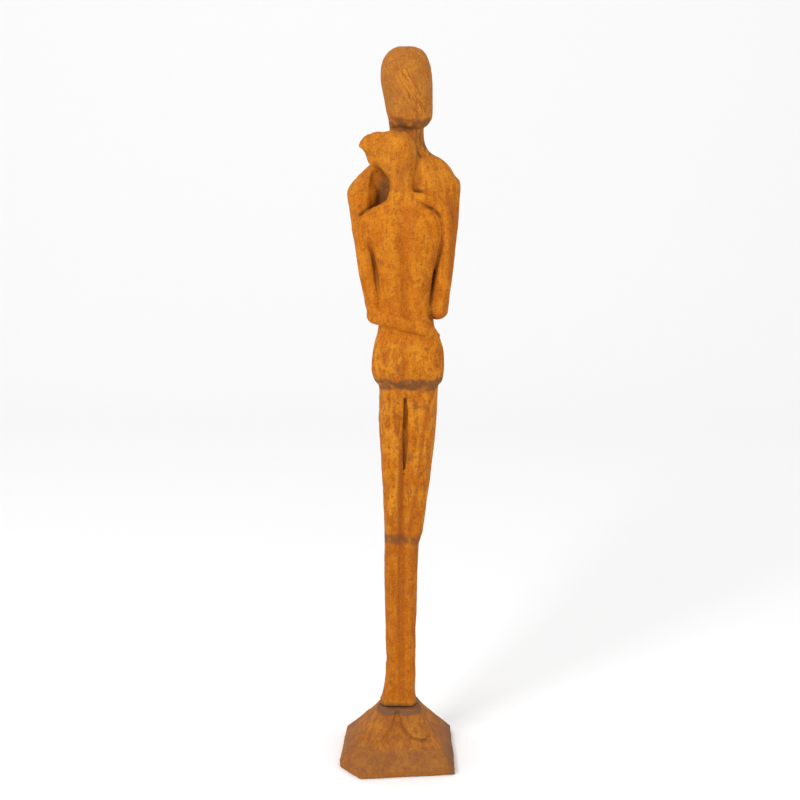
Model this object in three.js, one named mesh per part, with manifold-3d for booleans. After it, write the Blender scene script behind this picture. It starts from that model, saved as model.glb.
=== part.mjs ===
// A cast iron garden statue: two long, thin, faceless figures who hold each other, on a low square mound.
// Millimetres, +Z up. The origin is the middle of the underside, and -Y is the front. The taller figure
// stands behind and faces the front; the shorter one stands before it, with its back to the front.
//
// Each piece is modelled like clay: a grid of signed distances (negative inside) to which rounded shapes
// are added and from which creases are cut. The grid is then skinned with one vertex per crossed cell.
import * as THREE from "three";
import { mergeVertices } from "three/addons/utils/BufferGeometryUtils.js";
import Module from "manifold-3d";

const wasm = await Module();
wasm.setup();

// ---- Driving sizes -------------------------------------------------------------------------------------

const STATUE_HEIGHT = 1220;
const JOINT_HEIGHT = 100; // where the column of the legs stands on the mound
const JOINT_GAP = 0.3;
const RIM_HEIGHT = 12; // the short upright edge around the foot of the mound

// The mound's plan: nearly square, with its front left corner cut off and a bowed back.
const MOUND_PLAN = [
  [100, -86],
  [97, 86],
  [4, 101],
  [-92, 86],
  [-101, -57],
  [-64, -103],
];
const MOUND_TOP = { x: 5.5, y: 0 }; // the middle of the small level top that carries the legs
const MOUND_TOP_REACHES = [28, 27, 27, 31, 34, 30]; // from there to each side
const MOUND_HOLLOWS = [1.1, 1.1, 1.15, 1.1, 1.2, 1.15]; // for each side: above 1 its slope is hollow
const MOUND_STEPS = 6; // flat bands that make up each slope
const MOUND_HEIGHT = JOINT_HEIGHT - JOINT_GAP;
const SLOPE_SHARE = 0.75; // turns a level distance to a slope into one across it

// Each foot as seen from the front, from the ankle to the toes: [x, z, half width], and how far it is raised.
const FEET = [
  {
    outline: [
      [-17, 104, 20],
      [-24, 80, 18],
      [-31, 67, 15],
      [-32.5, 63, 12.5],
    ],
    height: 4.5,
  },
  {
    outline: [
      [18, 104, 20],
      [27, 80, 21.5],
      [36, 68, 18],
      [43.5, 63, 13],
    ],
    height: 6,
  },
];
const FOOT_ROUNDING = 9;
const FOOT_FORESHORTENING = 1.3;
const FOOT_BACK = -8; // the feet are solid back to here, inside the mound
const FOOT_TRIANGLES = 320;

const COUPLE_TRIANGLES = 9200;

const FILLED = -0.05; // the distance given to a corner that is filled, just inside the surface
const CELL_MARGIN = 0.06; // how near a vertex of the skin may come to its cell's sides, as a share

// ---- Clay ----------------------------------------------------------------------------------------------

const FAR = 40; // the distance where nothing has been added yet

// The smaller of two distances, rounded over a width of blend.
function smoothMin(a, b, blend) {
  const h = Math.max(blend - Math.abs(a - b), 0) / blend;
  return Math.min(a, b) - (h * h * blend) / 4;
}

const smoothMax = (a, b, blend) => -smoothMin(-a, -b, blend);

const REACH = 26; // how far outside its own box a shape still counts

const isNear = ({ low, high }, ...point) =>
  point.every((v, axis) => v > low[axis] - REACH && v < high[axis] + REACH);

// Shapes added and cut in turn. Its distance is negative inside.
class Clay {
  steps = [];

  add(shape, blend) {
    this.steps.push((old, x, y, z) => {
      return isNear(shape, x, y, z) ? smoothMin(old, shape.distance(x, y, z), blend) : old;
    });
  }

  cut(shape, blend) {
    this.steps.push((old, x, y, z) => {
      return isNear(shape, x, y, z) ? smoothMax(old, -shape.distance(x, y, z), blend) : old;
    });
  }

  distance(x, y, z) {
    return this.steps.reduce((old, step) => step(old, x, y, z), FAR);
  }

  // The point moved onto the surface, by at most a given distance.
  settled([x, y, z], most) {
    const nudge = 0.5;
    let point = [x, y, z];
    for (let round = 0; round < 3; round++) {
      const here = this.distance(...point);
      const slope = [0, 1, 2].map((axis) => {
        const ahead = point.with(axis, point[axis] + nudge);
        const behind = point.with(axis, point[axis] - nudge);
        return (this.distance(...ahead) - this.distance(...behind)) / (2 * nudge);
      });
      const steepness = Math.max(slope.reduce((sum, v) => sum + v * v, 0), 0.25);
      point = point.map((v, axis) => v - (here * slope[axis]) / steepness);
    }
    const move = point.map((v, axis) => v - [x, y, z][axis]);
    const shorten = Math.min(1, most / Math.max(Math.hypot(...move), 1e-6));
    return [x, y, z].map((v, axis) => v + move[axis] * shorten);
  }
}

// ---- Skin ----------------------------------------------------------------------------------------------

// Grid lines from low to past high, whose spacing is step(position).
function gridLines(low, high, step) {
  const lines = [low];
  while (lines.at(-1) < high) lines.push(lines.at(-1) + step(lines.at(-1)));
  return lines;
}

// The surface of some clay on a grid, with one vertex in each crossed cell and a quad across each
// crossed grid edge.
class Skin {
  constructor(clay, lines) {
    this.clay = clay;
    this.lines = lines;
    this.size = lines.map((line) => line.length);
    this.strides = [1, this.size[0], this.size[0] * this.size[1]];
    this.value = new Float64Array(this.size[0] * this.size[1] * this.size[2]);
    this.eachCell(0, ([i, j, k], at) => {
      this.value[at] = clay.distance(lines[0][i], lines[1][j], lines[2][k]);
    });
  }

  // Calls visit(cell, index) for each grid point but the last few on each axis.
  eachCell(leftOut, visit) {
    const [nx, ny, nz] = this.size.map((count) => count - leftOut);
    for (let k = 0; k < nz; k++)
      for (let j = 0; j < ny; j++)
        for (let i = 0; i < nx; i++) visit([i, j, k], i + j * this.strides[1] + k * this.strides[2]);
  }

  inside(at) {
    return this.value[at] < 0;
  }

  // Fills one outside corner, the nearest to the surface.
  fill(corners) {
    const outside = corners.filter((corner) => !this.inside(corner));
    const nearest = outside.reduce((a, b) => (this.value[a] < this.value[b] ? a : b));
    this.value[nearest] = FILLED;
  }

  // Fills the cells and faces whose corners meet only across a diagonal, so that the skin is one
  // clean surface.
  closeDiagonals() {
    const [dx, dy, dz] = this.strides;
    const faces = [[dx, dy, dz], [dy, dz, dx], [dz, dx, dy]];
    const corners = [0, dx, dy, dx + dy, dz, dx + dz, dy + dz, dx + dy + dz];
    let changed = true;
    const closeFace = (face) => {
      const [a, b, c, d] = face.map((corner) => this.inside(corner));
      if (a !== d || b !== c || a === b) return;
      this.fill(face);
      changed = true;
    };
    const closeCell = (cell) => {
      const full = cell.map((corner) => this.inside(corner));
      const count = full.filter(Boolean).length;
      const lone = count === 2 ? true : false;
      if (count !== 2 && count !== 6) return;
      const pair = full.map((state, n) => (state === lone ? n : -1)).filter((n) => n >= 0);
      if (pair[0] + pair[1] !== 7) return;
      this.fill(cell);
      changed = true;
    };
    while (changed) {
      changed = false;
      this.eachCell(1, (cell, at) => {
        for (const [u, v, w] of faces)
          for (const lift of [0, w]) closeFace([at, at + u, at + v, at + u + v].map((n) => n + lift));
        closeCell(corners.map((corner) => at + corner));
      });
    }
  }

  // Fills the hollows that nothing outside reaches.
  closeHollows() {
    const reached = new Uint8Array(this.value.length);
    const open = [0];
    while (open.length) {
      const at = open.pop();
      for (const stride of this.strides)
        for (const next of [at - stride, at + stride]) {
          if (next < 0 || next >= reached.length || reached[next] || this.inside(next)) continue;
          reached[next] = 1;
          open.push(next);
        }
    }
    this.value = this.value.map((value, at) => (value >= 0 && !reached[at] ? FILLED : value));
  }

  // The mean of the points where the surface crosses a cell's edges, moved onto the surface, or null.
  vertex(cell, base) {
    const sum = [0, 0, 0];
    let count = 0;
    for (let axis = 0; axis < 3; axis++) {
      const [u, v] = [(axis + 1) % 3, (axis + 2) % 3];
      for (const [stepU, stepV] of [[0, 0], [1, 0], [0, 1], [1, 1]]) {
        const start = base + stepU * this.strides[u] + stepV * this.strides[v];
        const end = start + this.strides[axis];
        if (this.inside(start) === this.inside(end)) continue;
        const part = [0, 0, 0];
        part[axis] = this.value[start] / (this.value[start] - this.value[end]);
        part[u] = stepU;
        part[v] = stepV;
        for (let n = 0; n < 3; n++) {
          const [low, high] = this.lines[n].slice(cell[n], cell[n] + 2);
          sum[n] += low + part[n] * (high - low);
        }
        count++;
      }
    }
    if (!count) return null;
    const size = cell.map((n, axis) => this.lines[axis][n + 1] - this.lines[axis][n]);
    const mean = sum.map((total) => total / count);
    const moved = this.clay.settled(mean, Math.min(...size) / 2);
    return moved.map((v, axis) => {
      const low = this.lines[axis][cell[axis]];
      const margin = size[axis] * CELL_MARGIN;
      return THREE.MathUtils.clamp(v, low + margin, low + size[axis] - margin);
    });
  }

  geometry() {
    this.closeDiagonals();
    this.closeHollows();
    const vertexOf = new Map();
    const positions = [];
    this.eachCell(1, (cell, at) => {
      const point = this.vertex(cell, at);
      if (!point) return;
      vertexOf.set(at, positions.length / 3);
      positions.push(...point);
    });
    const corner = (n) => new THREE.Vector3().fromArray(positions, 3 * n);
    const triangles = [];
    this.eachCell(1, (cell, at) => {
      for (let axis = 0; axis < 3; axis++) {
        if (this.inside(at) === this.inside(at + this.strides[axis])) continue;
        const u = this.strides[(axis + 1) % 3];
        const v = this.strides[(axis + 2) % 3];
        const ring = [at, at - u, at - u - v, at - v].map((n) => vertexOf.get(n));
        if (!this.inside(at)) ring.reverse();
        const [a, b, c, d] = ring;
        const splitAC = corner(a).distanceTo(corner(c)) < corner(b).distanceTo(corner(d));
        triangles.push(...(splitAC ? [a, b, c, a, c, d] : [a, b, d, b, c, d]));
      }
    });
    const geometry = new THREE.BufferGeometry();
    geometry.setAttribute("position", new THREE.Float32BufferAttribute(positions, 3));
    geometry.setIndex(triangles);
    return geometry;
  }
}

// ---- Shapes to add and cut -----------------------------------------------------------------------------

// A limb through stations [x, y, z, radius], like a chain of rounded cones.
function limb(...stations) {
  const bones = stations.slice(1).map((end, n) => {
    const start = stations[n];
    const along = [0, 1, 2].map((axis) => end[axis] - start[axis]);
    return { start, along, grow: end[3] - start[3], length2: along.reduce((s, v) => s + v * v, 0) };
  });
  const distance = (x, y, z) => {
    let nearest = Infinity;
    for (const { start, along, grow, length2 } of bones) {
      const [dx, dy, dz] = [x - start[0], y - start[1], z - start[2]];
      const t = THREE.MathUtils.clamp((dx * along[0] + dy * along[1] + dz * along[2]) / length2, 0, 1);
      const gap = Math.hypot(dx - t * along[0], dy - t * along[1], dz - t * along[2]);
      nearest = Math.min(nearest, gap - start[3] - t * grow);
    }
    return nearest;
  };
  const low = [0, 1, 2].map((axis) => Math.min(...stations.map((station) => station[axis] - station[3])));
  const high = [0, 1, 2].map((axis) => Math.max(...stations.map((station) => station[axis] + station[3])));
  return { distance, low, high };
}

// A rounded lump; a power of 2 is an ellipsoid, and a higher one is squarer.
function lump([cx, cy, cz], [rx, ry, rz], power = 2) {
  const distance = (x, y, z) => {
    const [u, v, w] = [Math.abs(x - cx) / rx, Math.abs(y - cy) / ry, Math.abs(z - cz) / rz];
    const size = Math.max((u ** power + v ** power + w ** power) ** (1 / power), 1e-3);
    const pull = (part, radius) => (part / size) ** (power - 1) / radius;
    return (size - 1) / Math.hypot(pull(u, rx), pull(v, ry), pull(w, rz));
  };
  return { distance, low: [cx - rx, cy - ry, cz - rz], high: [cx + rx, cy + ry, cz + rz] };
}

// A smooth value at a height, through rows [height, value...].
function between(rows, z) {
  const last = rows.length - 1;
  let n = rows.findIndex((row) => row[0] > z) - 1;
  if (n === -2) n = last - 1;
  n = Math.max(n, 0);
  const t = THREE.MathUtils.clamp((z - rows[n][0]) / (rows[n + 1][0] - rows[n][0]), 0, 1);
  const slope = (at, column) => {
    const [a, b] = [rows[Math.max(at - 1, 0)], rows[Math.min(at + 1, last)]];
    return ((b[column] - a[column]) / (b[0] - a[0])) * (rows[n + 1][0] - rows[n][0]);
  };
  return rows[n].slice(1).map((value, column) => {
    const [p, q] = [value, rows[n + 1][column + 1]];
    const [m0, m1] = [slope(n, column + 1), slope(n + 1, column + 1)];
    const t2 = t * t;
    const t3 = t2 * t;
    return (2 * t3 - 3 * t2 + 1) * p + (t3 - 2 * t2 + t) * m0 + (3 * t2 - 2 * t3) * q + (t3 - t2) * m1;
  });
}

// An upright body through rows [height, left, right, front, back], with rounded ends.
function trunk(rows, power, endRound) {
  const [bottom, top] = [rows[0][0], rows.at(-1)[0]];
  const distance = (x, y, z) => {
    const [left, right, front, back] = between(rows, THREE.MathUtils.clamp(z, bottom, top));
    const [rx, ry] = [(right - left) / 2, (back - front) / 2];
    const u = Math.abs(x - (left + right) / 2) / rx;
    const v = Math.abs(y - (front + back) / 2) / ry;
    const size = Math.max((u ** power + v ** power) ** (1 / power), 1e-3);
    const side = (size - 1) / Math.hypot((u / size) ** (power - 1) / rx, (v / size) ** (power - 1) / ry);
    return smoothMax(side, Math.max(bottom - z, z - top), endRound);
  };
  return { distance, low: [-Infinity, -Infinity, bottom], high: [Infinity, Infinity, top] };
}

// ---- The couple ----------------------------------------------------------------------------------------

const LEG_POWER = 3;
const BODY_POWER = 2.3;

// Both pairs of legs are one column: [height, left, middle, right, front, back].
const LEG_ROWS = [
  [JOINT_HEIGHT - 10, -34, 5, 36, -29, 29],
  [JOINT_HEIGHT, -31, 5, 34, -28.5, 28],
  [106, -28, 5, 33, -28, 27.5],
  [113, -26, 5, 32, -27, 27],
  [121, -24.5, 5, 31.5, -26.5, 27],
  [130, -23, 5, 31.5, -26, 27],
  [150, -20.5, 5, 32.5, -26, 27],
  [166, -20.5, 5, 32.5, -26, 27],
  [174, -19, 5, 32, -24.5, 26],
  [250, -20.5, 5, 33, -26, 28],
  [330, -22, 6, 35.5, -27, 32],
  [392, -21.5, 8, 37.5, -27, 29],
  [416, -21.5, 9, 43.5, -31, 32],
  [480, -24, 11, 52, -36, 37],
  [540, -27, 13, 59.5, -41, 41],
  [608, -30, 14, 66, -46, 45],
  [660, -29.5, 15.5, 68, -49, 48],
  [684, -31, 16, 70, -50, 49],
];
const LEG_OVERLAP = 3;
const WEB_HALF_WIDTH = 8; // the web that joins the two legs
// [height, recess of the web below the front and the back of the legs]
const WEB_ROWS = [
  [90, 1],
  [166, 2],
  [180, 5],
  [380, 6],
  [420, 7],
  [560, 7],
  [684, 4],
];

function addLegs(clay) {
  const leftLeg = LEG_ROWS.map(([z, left, middle, , front, back]) => [
    z, left, middle + LEG_OVERLAP, front, back,
  ]);
  const rightLeg = LEG_ROWS.map(([z, , middle, right, front, back]) => [
    z, middle - LEG_OVERLAP, right, front, back,
  ]);
  const web = LEG_ROWS.map(([z, , middle, , front, back]) => {
    const [recess] = between(WEB_ROWS, z);
    return [z, middle - WEB_HALF_WIDTH, middle + WEB_HALF_WIDTH, front + recess, back - recess];
  });
  clay.add(trunk(leftLeg, LEG_POWER, 2), 2);
  clay.add(trunk(rightLeg, LEG_POWER, 2), 3);
  clay.add(trunk(web, LEG_POWER, 2), 6);
}

// The taller figure, behind.
const BACK_TRUNK = [
  [664, -20, 54, -6, 40],
  [679, -33, 70, -6, 52],
  [690, -38, 74, -6, 58],
  [705, -40, 76, -6, 61],
  [738, -37, 74, -6, 57],
  [768, -29, 62.5, -6, 47],
  [820, -32, 62, -6, 52],
  [880, -42, 74, -4, 60],
  [940, -52, 82, -2, 66],
  [985, -58, 84, 0, 62],
  [1010, -42, 70, 0, 54],
  [1030, -20, 44, 0, 50],
];

// The head of the taller figure: straight on the right, and narrower towards the neck on the left.
const HEAD_POWER = 2.35;
const HEAD_ROWS = [
  [1090, -9, 42, -12, 42],
  [1098, -11, 51, -20, 46],
  [1107, -13.5, 57, -25, 49],
  [1120, -17, 58.2, -28, 53],
  [1145, -22.2, 57.8, -32, 57],
  [1168, -26.2, 57, -33, 58],
  [1186, -25.7, 54.8, -31, 55],
  [1199, -22.5, 51, -26, 49],
  [1209, -16.5, 46, -17, 41],
  [1216, -8.5, 40, -7, 32],
  [STATUE_HEIGHT + 1, 0, 31, 3, 22],
];

const RIGHT_UPPER_ARM = [
  [77.6, 8, 985, 25.5],
  [78.5, 4, 935, 22],
  [76, 2, 890, 19.5],
  [71.5, -4, 840, 18.5],
  [66, -8, 799.5, 18.5],
];
// Folded up before the upper arm, to the neck of the shorter figure.
const RIGHT_FOREARM = [
  [67, -15, 799, 16.5],
  [74, -20, 846, 14.5],
  [77, -25, 886, 11],
  [80, -28, 918, 9.5],
  [81, -29, 942, 9],
  [75, -31, 964, 9.5],
  [61, -32, 976, 9.5],
  [44, -34, 982, 9.5],
  [27, -37, 986, 7],
];
// Behind the arm of the shorter figure.
const LEFT_UPPER_ARM = [
  [-54, 12, 984, 26.5],
  [-56, 12, 930, 18.5],
  [-49, 8, 870, 15],
  [-38.5, -6, 806, 13.5],
];

function addBackFigure(clay) {
  clay.add(trunk(BACK_TRUNK, BODY_POWER, 8), 6);
  clay.add(limb([14, 20, 1000, 30], [16, 18, 1100, 27.5]), 10);
  // Shoulders: the slopes from the neck, and the round ends. The right one turns forward.
  clay.add(limb([18, 16, 1058, 18], [72, 10, 1010, 22.5], [77.6, 8, 998, 26.5]), 16);
  clay.add(limb([8, 18, 1060, 16], [-46, 14, 1001, 23], [-54, 12, 984, 26.5]), 12);
  clay.add(lump([54, 4, 1000], [36, 27, 46], 2.3), 10);
  clay.add(limb([38, -9, 1030, 18], [50, -10, 1002, 24], [68, -10, 972, 23]), 8);
  clay.add(limb([-56, 3, 996, 16], [-57, -2, 966, 16]), 8);
  // The hollow between the left shoulder and the other figure's neck.
  clay.cut(lump([-26, -20, 991], [18, 24, 41], 4), 2.5);
  clay.add(trunk(HEAD_ROWS, HEAD_POWER, 7), 5);
  clay.add(limb(...RIGHT_UPPER_ARM), 5);
  clay.add(limb(...RIGHT_FOREARM), 3);
  clay.add(limb(...LEFT_UPPER_ARM), 5);
}

// The left arm's forearm, which lies on the shorter figure's back.
const LOW_FOREARM = [
  [-36, -26, 791, 13.7],
  [-14, -42, 788, 13.5],
  [13, -46, 782, 14.5],
  [36, -43, 774, 13],
  [54, -35, 767, 10],
  [66, -23, 757, 5],
];

// The shorter figure, in front.
const FRONT_TRUNK = [
  [664, -20, 54, -40, 6],
  [679, -34, 72, -53, 6],
  [690, -39.5, 76, -58, 6],
  [705, -42, 78, -61, 6],
  [738, -38.5, 75.5, -56, 6],
  [768, -31, 63, -47, 6],
  [800, -30, 54, -48, 6],
  [850, -33, 57, -54, 6],
  [890, -38, 66, -60, 6],
  [920, -50, 72, -62, 4],
  [945, -62, 72, -58, 2],
  [962, -48, 62, -52, 0],
  [978, -18, 38, -46, -2],
  [990, -12, 28, -42, -2],
];

// The head of the shorter figure is turned to the left, with a pointed brow above a small chin.
const BROW = [
  [-2, -20, 1060, 29.5],
  [-30, -20, 1066, 22],
  [-42, -20, 1068, 16],
  [-52, -20, 1067.5, 8.5],
  [-57.5, -20, 1066, 4.2],
];
const FRONT_UPPER_ARM = [
  [-51, -32, 941, 14],
  [-55, -30, 905, 13.5],
  [-48.5, -28, 860, 13.5],
  [-40, -27, 818, 13],
  [-36, -26, 798, 13],
];
// Its two forearms lie on the taller figure's back.
const FRONT_FOREARMS = [
  [
    [-40, -18, 812, 13],
    [-41, 18, 814, 12],
    [-30, 42, 822, 13],
    [8, 51, 834, 13],
    [34, 53, 842, 9],
  ],
  [
    [70, 20, 884, 12],
    [62, 42, 892, 13],
    [34, 56, 902, 13],
    [2, 62, 908, 9],
  ],
];

function addFrontFigure(clay) {
  clay.add(trunk(FRONT_TRUNK, BODY_POWER, 6), 4);
  clay.add(limb([8, -22, 970, 19], [8, -21, 1000, 19.5], [8, -20, 1042, 22]), 8);
  clay.add(lump([1, -20, 1052], [30, 28, 38.5], 2.3), 8);
  clay.add(limb(...BROW), 4);
  clay.add(limb([-5, -20, 1050, 25], [-36, -20, 1045, 11.5]), 4);
  clay.add(limb([-43, -20, 1053.5, 8], [-38, -20, 1042, 7]), 3);
  clay.add(limb(...FRONT_UPPER_ARM), 4);
  for (const forearm of FRONT_FOREARMS) clay.add(limb(...forearm), 4);
}

const ARM_GROOVES = [
  [
    [-48, -50, 920, 1],
    [-40, -51, 895, 2.2],
    [-33, -48, 856, 3],
    [-29, -42, 816, 3.6],
  ],
  [
    [67, -50, 890, 1],
    [59, -47, 846, 2],
    [54, -38, 815, 3],
    [53, -28, 790, 4],
  ],
];
const SPINES = [
  [
    [9, -61.5, 960, 8],
    [11, -68.5, 925, 12],
    [13, -65, 880, 12],
    [16, -58.5, 840, 11],
    [20, -53, 800, 10],
  ],
  [
    [16, 70, 968, 6],
    [16, 74, 930, 7],
    [16, 66, 868, 7],
    [16, 60, 800, 8],
    [16, 57, 770, 7],
  ],
];
// The slot high between the thighs: [x, how much shallower than its top, z, radius].
const THIGH_SLOT = [
  [13.5, 0, 654, 3.2],
  [14.5, 1, 632, 4.2],
  [13, 3, 600, 4],
  [13.5, 4, 572, 4.4],
  [12.5, 5, 547, 3],
  [11, 7, 520, 0.6],
];
const SLOT_DEPTHS = [45, 38];

function cutCreases(clay) {
  // Down each side of the legs, between the two figures.
  for (const [column, out] of [[1, -3], [3, 3]]) {
    const seam = LEG_ROWS.filter(([z]) => z > 120).map((row) => [row[column] + out, 1, row[0], 5]);
    clay.cut(limb(...seam), 4);
  }
  for (const groove of ARM_GROOVES) clay.cut(limb(...groove), 3);
  for (const spine of SPINES) clay.cut(limb(...spine), 9);
  for (const side of [-1, 1]) {
    // The cleft below each spine, and the slot between the thighs.
    clay.cut(limb([16, side * 64, 738, 3], [16, side * 61, 690, 4]), 6);
    for (const depth of SLOT_DEPTHS) {
      const slot = THIGH_SLOT.map(([x, rise, z, radius]) => [x, side * (depth - rise), z, radius]);
      clay.cut(limb(...slot), 2);
    }
  }
  // Beside the neck of the shorter figure.
  clay.cut(limb([32, -24, 1066, 1.5], [31, -32, 996, 1.5]), 2);
}

// ---- The mound -----------------------------------------------------------------------------------------

// The sides of the mound: an outward direction, and how far each stands from the middle of the top.
const MOUND_SIDES = MOUND_PLAN.map((corner, n) => {
  const next = MOUND_PLAN[(n + 1) % MOUND_PLAN.length];
  const length = Math.hypot(next[0] - corner[0], next[1] - corner[1]);
  const normal = [(next[1] - corner[1]) / length, (corner[0] - next[0]) / length];
  const reach = normal[0] * (corner[0] - MOUND_TOP.x) + normal[1] * (corner[1] - MOUND_TOP.y);
  return { normal, reach, topReach: MOUND_TOP_REACHES[n], hollow: MOUND_HOLLOWS[n] };
});

// How far a side stands from the middle where the slopes have risen by a share of their height.
const sideReach = ({ reach, topReach, hollow }, rise) => topReach + (reach - topReach) * (1 - rise) ** hollow;

// The mound's outline where its slopes have risen by a share of their height.
function moundOutline(rise) {
  const lines = MOUND_SIDES.map((side) => [...side.normal, sideReach(side, rise)]);
  return lines.map(([a, b, c], n) => {
    const [d, e, f] = lines[(n + 1) % lines.length];
    const cross = a * e - b * d;
    return [MOUND_TOP.x + (c * e - b * f) / cross, MOUND_TOP.y + (a * f - c * d) / cross];
  });
}

// A closed body through outlines of equal length, each at its height.
function loft(outlines) {
  const count = outlines[0].points.length;
  const positions = outlines.flatMap(({ points, z }) => points.flatMap(([x, y]) => [x, y, z]));
  const triangles = [];
  for (let ring = 0; ring < outlines.length - 1; ring++)
    for (let n = 0; n < count; n++) {
      const [a, b] = [ring * count + n, ring * count + ((n + 1) % count)];
      triangles.push(a, b, b + count, a, b + count, a + count);
    }
  const lastRing = (outlines.length - 1) * count;
  for (let n = 1; n < count - 1; n++) {
    triangles.push(0, n + 1, n);
    triangles.push(lastRing, lastRing + n, lastRing + n + 1);
  }
  const geometry = new THREE.BufferGeometry();
  geometry.setAttribute("position", new THREE.Float32BufferAttribute(positions, 3));
  geometry.setIndex(triangles);
  return geometry;
}

// How far outside the mound a point is.
function moundGap(x, y, z) {
  const rise = THREE.MathUtils.clamp((z - RIM_HEIGHT) / (MOUND_HEIGHT - RIM_HEIGHT), 0, 1);
  const gaps = MOUND_SIDES.map((side) => {
    const out = side.normal[0] * (x - MOUND_TOP.x) + side.normal[1] * (y - MOUND_TOP.y);
    return (out - sideReach(side, rise)) * SLOPE_SHARE;
  });
  return Math.max(...gaps);
}

// A foot that lies on the front slope like a rounded panel.
function foot({ outline, height }) {
  const distance = (x, y, z) => {
    let beside = Infinity;
    for (let n = 0; n < outline.length - 1; n++) {
      const [start, end] = [outline[n], outline[n + 1]];
      const [run, fall] = [end[0] - start[0], end[1] - start[1]];
      const along = ((x - start[0]) * run + (z - start[1]) * fall) / (run * run + fall * fall);
      const t = THREE.MathUtils.clamp(along, 0, 1);
      const [dx, dz] = [x - start[0] - t * run, z - start[1] - t * fall];
      const halfWidth = start[2] + t * (end[2] - start[2]);
      beside = Math.min(beside, Math.hypot(dx, dz * FOOT_FORESHORTENING) - halfWidth);
    }
    const panel = smoothMax(moundGap(x, y, z) - height, beside, FOOT_ROUNDING);
    return Math.max(panel, y - FOOT_BACK);
  };
  return { distance, low: [-80, -90, 30], high: [80, FOOT_BACK, 130] };
}

// ---- Fewer triangles -----------------------------------------------------------------------------------

const LEAST_TURN = 0.35; // the least cosine between a triangle's direction before and after a collapse
const LEAST_AREA = 0.05;
const LENGTH_COST = 1e-4; // makes short edges go first where the surface is flat

// A heap of edges whose cheapest comes first.
class EdgeHeap {
  items = [];

  push(item) {
    const { items } = this;
    let at = items.push(item) - 1;
    while (at > 0) {
      const parent = (at - 1) >> 1;
      if (items[parent].cost <= items[at].cost) break;
      [items[parent], items[at]] = [items[at], items[parent]];
      at = parent;
    }
  }

  pop() {
    const { items } = this;
    const first = items[0];
    const last = items.pop();
    if (!items.length) return first;
    items[0] = last;
    let at = 0;
    for (;;) {
      let least = at;
      for (const child of [2 * at + 1, 2 * at + 2])
        if (child < items.length && items[child].cost < items[least].cost) least = child;
      if (least === at) return first;
      [items[least], items[at]] = [items[at], items[least]];
      at = least;
    }
  }
}

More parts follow.
